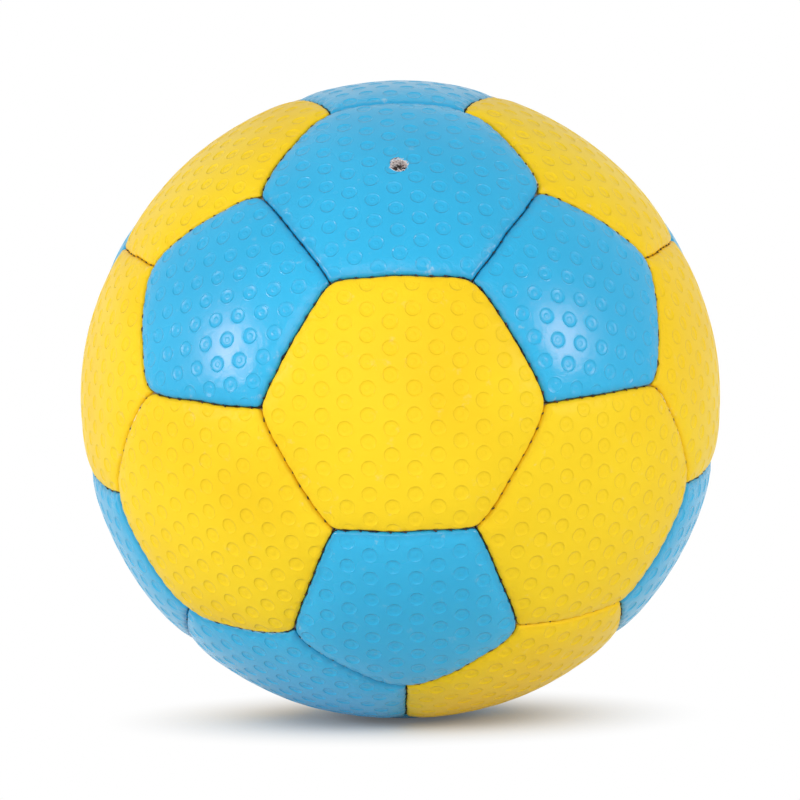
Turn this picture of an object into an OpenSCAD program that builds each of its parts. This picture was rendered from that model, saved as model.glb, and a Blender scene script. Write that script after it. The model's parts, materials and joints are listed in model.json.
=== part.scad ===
// Handball sewn from twenty hexagons and twelve pentagons round an inflated bladder.
// The origin is the ball's centre. -Y faces the viewer, +X is the viewer's right, +Z is up.

/* [Ball] */
// Diameter over the crowns of the panels
ball_d = 175; // [150:1:200]

/* [Cover panels] */
// Thickness of the coated cover, both on the crown and in the turned-in seam flanges
cover_t = 1.6; // [1.3:0.1:2.4]
// Gap between the two flanges that a seam draws together
seam_gap = 0.1; // [0.06:0.02:0.3]
// Width of the shoulder on which a panel bends down towards its seam
shoulder_w = 3; // [2:0.1:4]
// Slope of that shoulder, in degrees
shoulder_slope = 12; // [8:1:16]
// Width of the lip on which the shoulder rolls over into the flange
lip_w = 0.7; // [0.6:0.1:1.2]
// Slope of the lip, in degrees
lip_slope = 55; // [40:1:60]
// How far the awl hole at each corner of a panel reaches past the ends of its lips
corner_margin = 0.1; // [0.08:0.02:0.3]

/* [Seam thread] */
// Diameter of the waxed thread
thread_d = 0.7; // [0.5:0.05:0.9]
// Air between the thread and the two rolled edges that it lies on
thread_clearance = 0.06; // [0.04:0.01:0.15]
// Length of a seam left free of thread past the hole at each of its corners
thread_stop = 0.5; // [0.3:0.1:2]

/* [Padding and lining] */
// Thickness of the foam under the cover
foam_t = 2.2; // [1:0.1:3]
// Thickness of the layered cloth under the foam
lining_t = 1.2; // [0.9:0.1:2]
// Glue line round each layer of a panel
glue_gap = 0.1; // [0.06:0.02:0.2]

/* [Bladder] */
// Wall of the rubber bladder
bladder_t = 0.9; // [0.6:0.1:1.5]
// Air between the bladder and the linings
bladder_clearance = 0.1; // [0.08:0.02:0.25]

/* [Valve] */
// Angle of the valve above the middle of its panel, in degrees
valve_turn = 1.3; // [0:0.1:4]
// Hole through the cover that shows the valve
valve_hole_d = 3.8; // [3:0.1:5]
// Neck of the valve, from its flange out to the cover
neck_d = 8; // [7.4:0.1:10]
// Flange of the valve, cemented to the inside of the bladder
flange_d = 28; // [20:1:36]
// Thickness of that flange
flange_t = 1.4; // [0.8:0.1:2]
// Stem of the valve, inside the bladder
stem_d = 11; // [9.6:0.1:14]
// Length of the stem below the flange
stem_l = 9; // [8:0.5:14]
// Rubber left under the plug at the bottom of the stem
stem_floor = 1.5; // [1:0.1:3]
// Hole through that floor, wide enough for the needle to miss its edge
floor_hole_d = 3.4; // [3:0.1:4]
// Plug that seals the valve
core_d = 5.6; // [4.6:0.1:6]
// Clearance round the plug and round the neck
valve_clearance = 0.1; // [0.06:0.02:0.2]
// Channel that an inflating needle is pushed through
needle_d = 2; // [1.6:0.1:2.4]
// Depth of the funnel that guides the needle in
funnel_h = 1.2; // [0.6:0.1:2]
// Width of the funnel's mouth
funnel_d = 3.4; // [2.8:0.1:4]
// Cloth patch that backs the cover round the neck
patch_d = 34; // [24:1:40]
// Thickness of the patch
patch_t = 0.6; // [0.3:0.1:0.7]

/* [Hidden] */
$fn = 96;
yellow = "#F6D43A";
blue = "#45B4E0";
foam_colour = "#F3EFE2";
lining_colour = "#E9E4D2";
thread_colour = "#3A2A1E";
rubber_colour = "#2B2B2D";
plug_colour = "#9C9C98";
patch_colour = "#D8D2BC";

ball_r = ball_d / 2;
cut_over = cover_t;

// Radii of the layers, from the cover inwards
foam_r = ball_r - cover_t - glue_gap;
lining_r = foam_r - foam_t - glue_gap;
inside_r = lining_r - lining_t;
bladder_r = inside_r - bladder_clearance;
patch_r = inside_r + patch_t;
flange_r = bladder_r - bladder_t - glue_gap;

// Insets of a panel's cover and of the layers inside its flanges from the middle of the seam
cover_inset = seam_gap / 2;
layer_inset = cover_inset + cover_t + glue_gap;

// Angle from the middle of a panel to the middle of its sides, on a ball whose seams are all alike
golden = (1 + sqrt(5)) / 2;
corner_share = sqrt(58 + 18 * sqrt(5)) / 4;
function side_slope(sides) =
    atan(1 / (2 * tan(180 / sides)) / sqrt(pow(corner_share, 2) - pow(1 / (2 * sin(180 / sides)), 2)));
seam_angle = 2 * asin(1 / (2 * corner_share));
// Angle from the middle of a panel to its corners
function corner_slope(sides) = atan(tan(side_slope(sides)) / cos(180 / sides));
// Half the angle between two sides of a pentagon, where its lips reach furthest along their seams
corner_half = asin(cos(180 / 5) / cos(seam_angle / 2));

// Angles of the panels from the middle of the front one, which is a centre of threefold symmetry
near_hexagon = 2 * side_slope(6);
near_pentagon = side_slope(5) + side_slope(6);
far_hexagon = acos(1 / 3);
far_pentagon = acos(cos(near_pentagon) / pow(golden, 3));
// Half the clock angle between the two hexagons of the far ring that share a seam
ring_turn = acos(1 - (1 - cos(near_hexagon)) / pow(sin(far_hexagon), 2)) / 2;

// Name, number of sides, angle from the front, clock angle from the top towards +X, and colour
PANEL_ANGLES = [
    ["hexagon_front", 6, 0, 0, yellow],
    ["hexagon_valve", 6, near_hexagon, 0, blue],
    ["hexagon_front_lower_right", 6, near_hexagon, 120, yellow],
    ["hexagon_front_lower_left", 6, near_hexagon, 240, yellow],
    ["pentagon_upper_right", 5, near_pentagon, 60, blue],
    ["pentagon_front_lower", 5, near_pentagon, 180, blue],
    ["pentagon_upper_left", 5, near_pentagon, 300, blue],
    ["hexagon_upper_right_front", 6, far_hexagon, 60 - ring_turn, yellow],
    ["hexagon_right_front", 6, far_hexagon, 60 + ring_turn, yellow],
    ["hexagon_bottom_right_front", 6, far_hexagon, 180 - ring_turn, yellow],
    ["hexagon_bottom_left_front", 6, far_hexagon, 180 + ring_turn, blue],
    ["hexagon_left_front", 6, far_hexagon, 300 - ring_turn, yellow],
    ["hexagon_upper_left_front", 6, far_hexagon, 300 + ring_turn, yellow],
    ["pentagon_top", 5, far_pentagon, 0, blue],
    ["pentagon_right_lower", 5, far_pentagon, 120, blue],
    ["pentagon_left_lower", 5, far_pentagon, 240, blue],
    ["pentagon_bottom", 5, 180 - far_pentagon, 180, blue],
    ["pentagon_left_upper", 5, 180 - far_pentagon, 300, blue],
    ["pentagon_right_upper", 5, 180 - far_pentagon, 60, blue],
    ["hexagon_lower_left_back", 6, 180 - far_hexagon, 240 - ring_turn, yellow],
    ["hexagon_left_back", 6, 180 - far_hexagon, 240 + ring_turn, yellow],
    ["hexagon_top_left_back", 6, 180 - far_hexagon, -ring_turn, yellow],
    ["hexagon_top_right_back", 6, 180 - far_hexagon, ring_turn, yellow],
    ["hexagon_right_back", 6, 180 - far_hexagon, 120 - ring_turn, blue],
    ["hexagon_lower_right_back", 6, 180 - far_hexagon, 120 + ring_turn, yellow],
    ["pentagon_back_lower_left", 5, 180 - near_pentagon, 240, blue],
    ["pentagon_back_upper", 5, 180 - near_pentagon, 0, blue],
    ["pentagon_back_lower_right", 5, 180 - near_pentagon, 120, blue],
    ["hexagon_lower_back", 6, 180 - near_hexagon, 180, yellow],
    ["hexagon_back_upper_left", 6, 180 - near_hexagon, 300, blue],
    ["hexagon_back_upper_right", 6, 180 - near_hexagon, 60, yellow],
    ["hexagon_back", 6, 180, 0, yellow],
];
VALVE_PANEL = "hexagon_valve";

function unit(v) = v / norm(v);
function aim(panel) =
    [sin(panel[2]) * sin(panel[3]), -cos(panel[2]), sin(panel[2]) * cos(panel[3])];
PENTAGON_AIMS = [for (panel = PANEL_ANGLES) if (panel[1] == 5) aim(panel)];

// The nearest other pentagon, which every panel's sides line up with
function neighbour(way) =
    let (close = [for (other = PENTAGON_AIMS) if (norm(other - way) > norm(way) / 2) norm(other - way)])
    [for (other = PENTAGON_AIMS) if (abs(norm(other - way) - min(close)) < min(close) / 1000) other][0];

// Middle of the seam between two panels, and the way across it, for every pair that meets
SEAMS = [for (i = [0:len(PANEL_ANGLES) - 1], j = [i + 1:1:len(PANEL_ANGLES) - 1])
    let (
        a = aim(PANEL_ANGLES[i]),
        b = aim(PANEL_ANGLES[j]),
        slope_a = side_slope(PANEL_ANGLES[i][1]),
        slope_b = side_slope(PANEL_ANGLES[j][1]),
        middle = unit(a * sin(slope_b) + b * sin(slope_a))
    )
    if (norm(a - b) < 2 * sin((near_hexagon + side_slope(5)) / 2))
        [middle, unit(a - (a * middle) * middle)]];

// The shoulder and the lip follow balls whose middles lie on the axis across the seam
shoulder_shift = ball_r * tan(shoulder_slope);
shoulder_r = sqrt(pow(ball_r, 2) + pow(shoulder_shift, 2) - 2 * shoulder_w * shoulder_shift);
lip_rho = sqrt(pow(shoulder_r, 2) - pow(shoulder_shift - lip_w, 2));
lip_shift = ball_r * tan(lip_slope);
lip_r = sqrt(pow(lip_rho, 2) + pow(lip_shift - lip_w, 2));
corner_r = lip_w / sin(corner_half) + corner_margin;
// The thread lies in the groove between two lips
groove_rho = lip_rho - lip_w * tan(lip_slope);
thread_rho = groove_rho + (thread_d / 2 + thread_clearance) / cos(lip_slope);
thread_angle = seam_angle - 2 * asin((corner_r + thread_stop) / ball_r);

// Radii along the valve's axis
stem_bottom = flange_r - flange_t - stem_l;
core_bottom = stem_bottom + stem_floor;
core_top = foam_r - glue_gap - funnel_h;

// Turns a child drawn round +Z so that +Z points one way and +X leans towards another
module facing(way, towards) {
    z = unit(way);
    x = unit(towards - (towards * z) * z);
    y = cross(z, x);
    multmatrix([[x[0], y[0], z[0], 0], [x[1], y[1], z[1], 0], [x[2], y[2], z[2], 0], [0, 0, 0, 1]])
        children();
}

module on_panel(panel) {
    facing(aim(panel), neighbour(aim(panel))) children();
}

module on_valve_axis() {
    rotate([90 - near_hexagon - valve_turn, 0, 0]) children();
}

// A solid ball with its poles turned off the panel's axis
module ball(r) {
    rotate([90, 0, 0]) sphere(r);
}

// Pyramid that opens outwards from the ball's centre, with its sides set in from the seams
module wedge(sides, inset) {
    slope = side_slope(sides);
    reach = ball_r + cut_over;
    translate([0, 0, inset / sin(slope)])
        rotate([0, 0, sides == 6 ? 180 / sides : 0])
        cylinder(h = reach, r1 = 0, r2 = reach * tan(slope) / cos(180 / sides), $fn = sides);
}

// A layer of one panel between two radii
module layer(sides, outer, thickness, inset) {
    difference() {
        intersection() {
            ball(outer);
            wedge(sides, inset);
        }
        ball(outer - thickness);
    }
}

// Turns a child drawn round the axis across a panel's seam into its place
module at_seam(sides, k) {
    rotate([0, 90 - side_slope(sides), (k + (sides == 6 ? 0 : 1 / 2)) * 360 / sides + 180])
        children();
}

// The full depth of a panel, with the holes that the awl leaves where three panels meet
module blank(sides) {
    difference() {
        layer(sides, ball_r, ball_r - inside_r, cover_inset);
        for (k = [1:sides])
            rotate([0, corner_slope(sides), (k + (sides == 6 ? 1 / 2 : 0)) * 360 / sides])
                translate([0, 0, inside_r - cut_over])
                cylinder(h = ball_r - inside_r + 2 * cut_over, r = corner_r);
    }
}

// The same with the lip cut along its first few seams
module lipped(sides, seams) {
    if (seams == 0)
        blank(sides);
    else
        intersection() {
            lipped(sides, seams - 1);
            at_seam(sides, seams) translate([0, 0, lip_shift]) sphere(lip_r);
        }
}

// The same with every lip cut, and the shoulder along its first few seams
module shouldered(sides, seams) {
    if (seams == 0)
        lipped(sides, sides);
    else
        intersection() {
            shouldered(sides, seams - 1);
            at_seam(sides, seams) translate([0, 0, shoulder_shift]) sphere(shoulder_r);
        }
}

module cover(sides) {
    difference() {
        shouldered(sides, sides);
        intersection() {
            ball(ball_r - cover_t);
            wedge(sides, cover_inset + cover_t);
        }
    }
}

module along_valve_axis(d, low, high) {
    on_valve_axis() translate([0, 0, low]) cylinder(h = high - low, d = d);
}

module cover_panel(panel) {
    color(panel[4])
        if (panel[0] == VALVE_PANEL)
            difference() {
                on_panel(panel) cover(panel[1]);
                along_valve_axis(valve_hole_d, inside_r, ball_r + cut_over);
            }
        else
            on_panel(panel) cover(panel[1]);
}

// The foam and cloth layers of every panel of one kind, with the valve's neck passing through one
module padding(sides, outer, thickness) {
    for (panel = PANEL_ANGLES)
        if (panel[1] == sides)
            if (panel[0] == VALVE_PANEL)
                difference() {
                    on_panel(panel) layer(sides, outer, thickness, layer_inset);
                    along_valve_axis(neck_d + 2 * valve_clearance, flange_r - flange_t, ball_r);
                    children();
                }
            else
                on_panel(panel) layer(sides, outer, thickness, layer_inset);
}

module hexagon_foam_pads() {
    color(foam_colour) padding(6, foam_r, foam_t);
}

module pentagon_foam_pads() {
    color(foam_colour) padding(5, foam_r, foam_t);
}

module hexagon_linings() {
    color(lining_colour) padding(6, lining_r, lining_t) patch_space(glue_gap);
}

module pentagon_linings() {
    color(lining_colour) padding(5, lining_r, lining_t);
}

module seam_thread() {
    color(thread_colour)
        for (seam = SEAMS)
            facing(seam[1], seam[0])
            rotate([0, 0, -thread_angle / 2])
            rotate_extrude(angle = thread_angle)
            translate([thread_rho, 0]) circle(d = thread_d, $fn = 24);
}

module bladder() {
    color(rubber_colour) difference() {
        sphere(bladder_r);
        sphere(bladder_r - bladder_t);
        along_valve_axis(neck_d + 2 * valve_clearance, flange_r - flange_t, ball_r);
    }
}

// Disc of cloth on the bladder's side of the lining
module patch_space(room) {
    intersection() {
        on_valve_axis() ball(patch_r + room);
        along_valve_axis(patch_d + 2 * room, 0, ball_r);
    }
}

module valve_patch() {
    color(patch_colour) difference() {
        patch_space(0);
        on_valve_axis() ball(inside_r);
        along_valve_axis(neck_d + 2 * valve_clearance, 0, ball_r);
    }
}

module valve_body() {
    color(rubber_colour) difference() {
        union() {
            difference() {
                intersection() {
                    on_valve_axis() ball(flange_r);
                    along_valve_axis(flange_d, 0, ball_r);
                }
                on_valve_axis() ball(flange_r - flange_t);
            }
            along_valve_axis(stem_d, stem_bottom, flange_r - flange_t / 2);
            intersection() {
                on_valve_axis() ball(foam_r);
                along_valve_axis(neck_d, flange_r - flange_t, ball_r);
            }
        }
        along_valve_axis(core_d + 2 * valve_clearance, core_bottom - glue_gap, ball_r);
        along_valve_axis(floor_hole_d, stem_bottom - stem_floor, ball_r);
    }
}

module valve_core() {
    color(plug_colour) difference() {
        along_valve_axis(core_d, core_bottom, core_top + funnel_h);
        along_valve_axis(needle_d, stem_bottom, ball_r);
        on_valve_axis() translate([0, 0, core_top])
            cylinder(h = funnel_h + cut_over, d1 = needle_d,
                d2 = needle_d + (funnel_d - needle_d) * (funnel_h + cut_over) / funnel_h);
    }
}

for (panel = PANEL_ANGLES) cover_panel(panel);
hexagon_foam_pads();
pentagon_foam_pads();
hexagon_linings();
pentagon_linings();
seam_thread();
bladder();
valve_body();
valve_core();
valve_patch();
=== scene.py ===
# %% [markdown]
# # A hand-sewn handball, panel by panel
#
# The ball is a cover of twenty hexagons and twelve pentagons of dimpled leather, drawn together by thread,
# over padding, a cloth lining and an inflated bladder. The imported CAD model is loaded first, as a fixed
# frame. Every panel that the eye sees is then rebuilt here as a finer surface in the same place, with the
# soft rolled edges, the dimples and the small unevenness that a real sewn panel has.

# %% Load the frame
import itertools
import json
import math
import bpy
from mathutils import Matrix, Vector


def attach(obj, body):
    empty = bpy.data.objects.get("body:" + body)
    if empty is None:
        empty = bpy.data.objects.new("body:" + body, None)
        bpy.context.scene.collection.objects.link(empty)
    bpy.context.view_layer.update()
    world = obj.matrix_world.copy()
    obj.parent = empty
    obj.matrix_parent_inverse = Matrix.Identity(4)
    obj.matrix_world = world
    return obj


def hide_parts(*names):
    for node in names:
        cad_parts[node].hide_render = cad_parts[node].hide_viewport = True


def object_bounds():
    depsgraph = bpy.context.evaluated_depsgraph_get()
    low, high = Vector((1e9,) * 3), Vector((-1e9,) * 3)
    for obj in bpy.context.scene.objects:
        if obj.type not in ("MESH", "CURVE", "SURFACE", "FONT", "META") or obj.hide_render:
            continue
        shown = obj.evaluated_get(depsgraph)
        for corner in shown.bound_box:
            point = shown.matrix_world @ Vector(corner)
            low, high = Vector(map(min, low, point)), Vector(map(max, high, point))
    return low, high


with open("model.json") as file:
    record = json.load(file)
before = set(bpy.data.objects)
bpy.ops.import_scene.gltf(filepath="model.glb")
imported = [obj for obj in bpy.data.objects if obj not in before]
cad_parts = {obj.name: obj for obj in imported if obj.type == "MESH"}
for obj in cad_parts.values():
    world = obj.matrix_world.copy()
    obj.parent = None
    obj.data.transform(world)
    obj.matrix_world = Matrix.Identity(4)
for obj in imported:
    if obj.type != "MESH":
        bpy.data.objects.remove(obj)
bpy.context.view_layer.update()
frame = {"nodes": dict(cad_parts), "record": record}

from types import SimpleNamespace

import bpy
import numpy as np

# %% [markdown]
# ## Sizes
#
# Lengths are easiest to read in millimetres, so the surfaces are worked out in millimetres and scaled once,
# when they go into a mesh. The two radii that matter are measured on the frame itself: the crown of a panel,
# and the inner edge of its turned-in flange.

# %% Radii measured on the frame
MM = 0.001


def node_points(name):
    """The vertices of a CAD node, in millimetres, as rows of x, y and z."""
    mesh = frame["nodes"][name].data
    points = np.empty(len(mesh.vertices) * 3)
    mesh.vertices.foreach_get("co", points)
    return points.reshape(-1, 3) / MM


front_radii = np.linalg.norm(node_points("hexagon_front"), axis=1)
CROWN_R = front_radii.max()
INSIDE_R = front_radii.min()
COVER_T = 1.6
print(f"Crown radius {CROWN_R:.2f} mm, inner edge of the flanges {INSIDE_R:.2f} mm")

# %% [markdown]
# ## Where the panels lie
#
# Thirty-two panels of two kinds sit where an icosahedron has its corners and its triangles. Working the
# directions out from that rule gives exact seams, and matching each direction to the nearest CAD node gives
# the panel its name and its colour, so nothing has to be typed in twice.

# %% Directions of the panels
GOLDEN = (1 + 5 ** 0.5) / 2
# Cosine between neighbouring corners of an icosahedron, and between its neighbouring triangles
NEXT_CORNER = 5 ** -0.5
NEXT_TRIANGLE = 5 ** 0.5 / 3
# How far off a worked-out cosine may be
ROUNDING = 1e-6


def unit(v):
    """A vector, or each row of an array of vectors, divided by its own length."""
    return v / np.linalg.norm(v, axis=-1, keepdims=True)


def panel_directions():
    """Directions of the pentagons and of the hexagons, with one hexagon towards -Y and another right above
    it. The pentagons lie at the corners of an icosahedron, which are the cyclic turns of (0, +-1, +-golden).
    The hexagons lie over its triangles, so each is the sum of three corners that are all neighbours."""
    signs = np.array(list(itertools.product((-1, 1), repeat=2)), float)
    base = np.column_stack([np.zeros(4), signs[:, 0], signs[:, 1] * GOLDEN])
    corners = unit(np.vstack([np.roll(base, k, axis=1) for k in range(3)]))
    close = np.abs(corners @ corners.T - NEXT_CORNER) < ROUNDING
    threes = [t for t in itertools.combinations(range(12), 3) if close[np.ix_(t, t)].sum() == 6]
    middles = unit(corners[np.array(threes)].sum(axis=1))
    front = middles[0]
    above = middles[np.abs(middles @ front - NEXT_TRIANGLE) < ROUNDING][0]
    up = unit(above - (above @ front) * front)
    turn = np.array([np.cross(-front, up), -front, up])
    return corners @ turn.T, middles @ turn.T


PENTAGON_WAYS, HEXAGON_WAYS = panel_directions()
print(len(PENTAGON_WAYS), "pentagons and", len(HEXAGON_WAYS), "hexagons")

# %% Name and colour of each panel
COVER_SLOTS = ("cover_yellow", "cover_blue")
# Cosine above which two directions count as the same
SAME_WAY = 0.999
cover_nodes = {p["node"]: p["material_slot"] for p in frame["record"]["subparts"]
               if p["material_slot"] in COVER_SLOTS}
node_ways = {name: unit(node_points(name).mean(axis=0)) for name in cover_nodes}


def make_panel(way, sides):
    """A panel's name, slot and axes. Its first axis leans towards the nearest other pentagon."""
    name = max(node_ways, key=lambda n: node_ways[n] @ way)
    nearest = max((p for p in PENTAGON_WAYS if p @ way < SAME_WAY), key=lambda p: p @ way)
    x = unit(nearest - (nearest @ way) * way)
    return SimpleNamespace(name=name, slot=cover_nodes[name], sides=sides, way=way,
                           x=x, y=np.cross(way, x), seams=[])


panels = [make_panel(w, 6) for w in HEXAGON_WAYS] + [make_panel(w, 5) for w in PENTAGON_WAYS]
print(sum(p.slot == "cover_blue" for p in panels), "blue panels of", len(panels))

# %% [markdown]
# ## Where the seams lie
#
# A seam is a piece of a great circle between two panels. On a real ball it isn't quite straight: a plump
# panel pushes its seams over towards its neighbours, and hand sewing leaves a little wave. Both panels of a
# seam read the same shift, one with the opposite sign, so that their edges still meet all the way along.

# %% How plump the panels are
# Plumpness in millimetres of the panels that the photograph shows
PLUMP = {
    "hexagon_front": 2, "hexagon_valve": 1, "hexagon_front_lower_right": 1, "hexagon_front_lower_left": 1,
    "pentagon_upper_right": 1, "pentagon_upper_left": 1.5, "pentagon_front_lower": 1.5,
    "hexagon_right_front": -1, "hexagon_upper_right_front": -0.5, "hexagon_upper_left_front": -0.5,
    "hexagon_left_front": -1, "hexagon_bottom_right_front": -1, "hexagon_bottom_left_front": -1,
    "pentagon_right_lower": -1, "pentagon_top": -1.5, "pentagon_left_lower": -1.5,
}
# A hidden panel gets a random plumpness up to this, either way
HIDDEN_PLUMP = 0.4
# Seams that the sewing has drawn further over, or less far, than the plumpness alone would
DRAWN = {
    ("hexagon_valve", "hexagon_upper_right_front"): 3,
    ("hexagon_front_lower_right", "hexagon_bottom_right_front"): 0,
    ("hexagon_front", "pentagon_front_lower"): 0,
}
SEED = 7
random = np.random.default_rng(SEED)
for panel in panels:
    PLUMP.setdefault(panel.name, random.uniform(-HIDDEN_PLUMP, HIDDEN_PLUMP))
print("Plumpness from", min(PLUMP.values()), "to", max(PLUMP.values()), "mm")

# %% Seams and how far they are pushed over
# Distance of a corner from the ball's middle when a seam is 1 long, and half the angle that a seam takes up
CORNER_R = math.sqrt(58 + 18 * 5 ** 0.5) / 4
HALF_SEAM = math.asin(1 / (2 * CORNER_R))
# Angle from a panel's middle to the middle of a side, for a panel of six sides and of five
SIDE_SLOPE = {6: math.radians(20.905), 5: math.radians(16.472)}
# Cosine that parts the panels that share a seam from all others
NEIGHBOURS = 0.7
# Waves that sewing by hand leaves: the most height in millimetres, and the half turns in half a seam
SEWING_WAVES = ((0.16, 2.1), (0.07, 5.3))
# Greatest angle in radians at which a wave starts, either way
WAVE_START = 3


def seam_push(a, b):
    """How far the seam between two panels is pushed over from a towards b, in millimetres."""
    if (b.name, a.name) in DRAWN:
        return -DRAWN[b.name, a.name]
    return DRAWN.get((a.name, b.name), PLUMP[a.name] - PLUMP[b.name])


def make_seam(a, b):
    """The seam between two panels: its middle, the way across it from a to b, the way along it and its
    shift."""
    middle = unit(a.way * math.sin(SIDE_SLOPE[b.sides]) + b.way * math.sin(SIDE_SLOPE[a.sides]))
    across = unit(b.way - (b.way @ middle) * middle)
    push = seam_push(a, b)
    return SimpleNamespace(a=a, b=b, middle=middle, across=across, along=np.cross(middle, across),
                           push=push, waves=random.uniform(-1, 1, (len(SEWING_WAVES), 2)))


def seam_shift(seam, points):
    """How far a seam is pushed over from a towards b, in millimetres, at the height along it of each point.
    The push and the waves die away at the corners, as one less the sixth power of the height."""
    t = np.clip(points @ seam.along / math.sin(HALF_SEAM), -1, 1)
    wave = sum(height * share * np.sin(turns * np.pi * t + WAVE_START * start)
               for (height, turns), (share, start) in zip(SEWING_WAVES, seam.waves))
    return (seam.push + wave) * (1 - t ** 6)


seams = [make_seam(a, b) for a, b in itertools.combinations(panels, 2) if a.way @ b.way > NEIGHBOURS]
for seam in seams:
    seam.a.seams.append((1, seam))
    seam.b.seams.append((-1, seam))
for panel in panels:
    panel.seams.sort(key=lambda s: math.atan2(s[1].middle @ panel.y, s[1].middle @ panel.x))
print(len(seams), "seams")

# %% [markdown]
# ## The outline of a panel
#
# The surface is easiest to build if we can ask one question of any point: how far is it from the nearest
# seam? The distances to all the sides of a panel are blended softly, which rounds its corners the way turned
# leather does. To place a row of points at a given distance, the angle out from the panel's middle is then
# found by halving an interval, for the whole row at once.

# %% Distance to the seams
# Width in millimetres over which two sides blend at a corner
CORNER_ROUNDING = 0.45


def distance_in(panel, points, radius, hold):
    """Soft least distance in millimetres to the sides, from unit vectors that are drawn out to a radius.
    Each side's distance is the height over its plane plus its shift times hold. The least is minus the
    rounding times the logarithm of the sum of the exponentials of minus the distances over the rounding."""
    sides = np.array([-sign * radius * (points @ s.across) + sign * hold * seam_shift(s, points)
                      for sign, s in panel.seams])
    least = sides.min(axis=0)
    return least - CORNER_ROUNDING * np.log(np.exp((least - sides) / CORNER_ROUNDING).sum(axis=0))


middle_distance = distance_in(panels[0], panels[0].way[None], CROWN_R, 1.0)[0]
print(f"From the middle of a hexagon to its seams: {middle_distance:.1f} mm")

# %% Headings and angles of the grid
VALVE_PANEL = "hexagon_valve"
# Angle of the valve hole above the level
VALVE_RISE = math.radians(43.11)
VALVE_WAY = np.array([0, -math.cos(VALVE_RISE), math.sin(VALVE_RISE)])
# Widest angle that is searched for a distance, and how often the search halves it
WIDEST = math.radians(34)
HALVINGS = 26
ALMOST_ZERO = 1e-9


def grid_axes(panel):
    """Middle and two axes of a panel's grid. The valve panel's grid grows round the valve hole."""
    if panel.name != VALVE_PANEL:
        return panel.way, panel.x, panel.y
    x = unit(panel.x - (panel.x @ VALVE_WAY) * VALVE_WAY)
    return VALVE_WAY, x, np.cross(VALVE_WAY, x)


def corner_directions(panel):
    """The panel's corners in order, each on the planes of two sides that follow each other."""
    planes = [sign * s.across for sign, s in panel.seams]
    corners = unit(np.array([np.cross(planes[k - 1], planes[k]) for k in range(len(planes))]))
    return corners * np.sign(corners @ panel.way)[:, None]


def headings(panel, u):
    """Compass angle about the grid's middle of places u along the outline, where a whole number is a corner.
    Between two corners the places are spread evenly along the straight line that joins them."""
    way, x, y = grid_axes(panel)
    corners = corner_directions(panel)
    k = np.floor(u + ALMOST_ZERO).astype(int)
    t = (u - k)[:, None]
    chord = corners[k % panel.sides] * (1 - t) + corners[(k + 1) % panel.sides] * t
    return np.arctan2(chord @ y, chord @ x)


def directions(panel, heading, angle):
    """Unit vectors at an angle out from the grid's middle, on a compass heading round it."""
    way, x, y = grid_axes(panel)
    return (np.cos(angle)[:, None] * way + (np.sin(angle) * np.cos(heading))[:, None] * x
            + (np.sin(angle) * np.sin(heading))[:, None] * y)


def angle_at(panel, heading, distance, radius, hold):
    """Angle out from the grid's middle at which the distance to the seams has come down to a given one."""
    low, high = np.zeros(len(heading)), np.full(len(heading), WIDEST)
    for _ in range(HALVINGS):
        middle = (low + high) / 2
        inside = distance_in(panel, directions(panel, heading, middle), radius, hold) > distance
        low, high = np.where(inside, middle, low), np.where(inside, high, middle)
    return (low + high) / 2


print("Corners of the first hexagon:", np.round(corner_directions(panels[0]) * CROWN_R, 1).tolist())

# %% [markdown]
# ## The dimples
#
# The leather carries a regular triangular pattern of shallow round dimples, pressed in before the panels
# were cut, so each panel has the pattern at its own turn. The bowl of a dimple is real shape in the mesh.
# Its rim, the nub in its middle and the sharp edge of its floor are finer than the mesh, so the material
# adds them, from the same places.

# %% Dimple pattern of a panel
DIMPLE_PITCH = 6.5
DIMPLE_R = 1.95
DIMPLE_DEPTH = 0.2
# Distances from a dimple's middle at which its bowl starts and is at its full depth
BOWL_STEP = (DIMPLE_R + 0.15, DIMPLE_R - 0.75)
# Distances from the seam between which the bowls come up to their full depth
BOWL_FADE = (0.6, 2.2)

# Turn of the pattern in degrees from the level line through the panel's middle, and the place of one dimple
# on the turned axes in millimetres. A panel that isn't named here gets random ones.
DIMPLE_TURNS = {
    "hexagon_front": (30, 4.5, 2.5), "hexagon_valve": (33, 5.5, 1.5), "pentagon_upper_left": (9, 3.5, 0.5),
    "hexagon_front_lower_right": (36, 1, 6.5), "hexagon_front_lower_left": (23, 4.5, 2),
    "pentagon_upper_right": (50, 4, 1), "pentagon_front_lower": (31, 5.5, 4),
    "hexagon_right_front": (33, 0, 0), "hexagon_upper_right_front": (51, 0, 0),
    "hexagon_upper_left_front": (4, 0, 0), "hexagon_left_front": (28, 0, 0),
    "hexagon_bottom_right_front": (46, 0, 0), "hexagon_bottom_left_front": (20, 2.5, 6),
}
# Degrees after which a triangular pattern repeats, and how far a random one is moved at most
TURN_REPEAT = 60
PLACE_SPREAD = 3


def smooth_step(x, low, high):
    """Rises from 0 at low to 1 at high with level ends: 3 t squared less 2 t cubed."""
    t = np.clip((x - low) / (high - low), 0, 1)
    return t * t * (3 - 2 * t)


def dimple_place(panel, points):
    """Place of each point on the flat pattern, in millimetres: its angle from the panel's middle as a
    length along its own heading, then turned and moved by the panel's own setting."""
    angle = np.arccos(np.clip(points @ panel.way, -1, 1))
    reach = CROWN_R * angle / np.maximum(np.sin(angle), ALMOST_ZERO)
    level = unit(np.cross([0, 0, 1], panel.way))
    flat = np.column_stack([points @ level, points @ np.cross(panel.way, level)]) * reach[:, None]
    turn, dx, dy = panel.dimples
    c, s = math.cos(math.radians(turn)), math.sin(math.radians(turn))
    return np.column_stack([flat @ [c, s] - dx, flat @ [-s, c] - dy])


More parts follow.
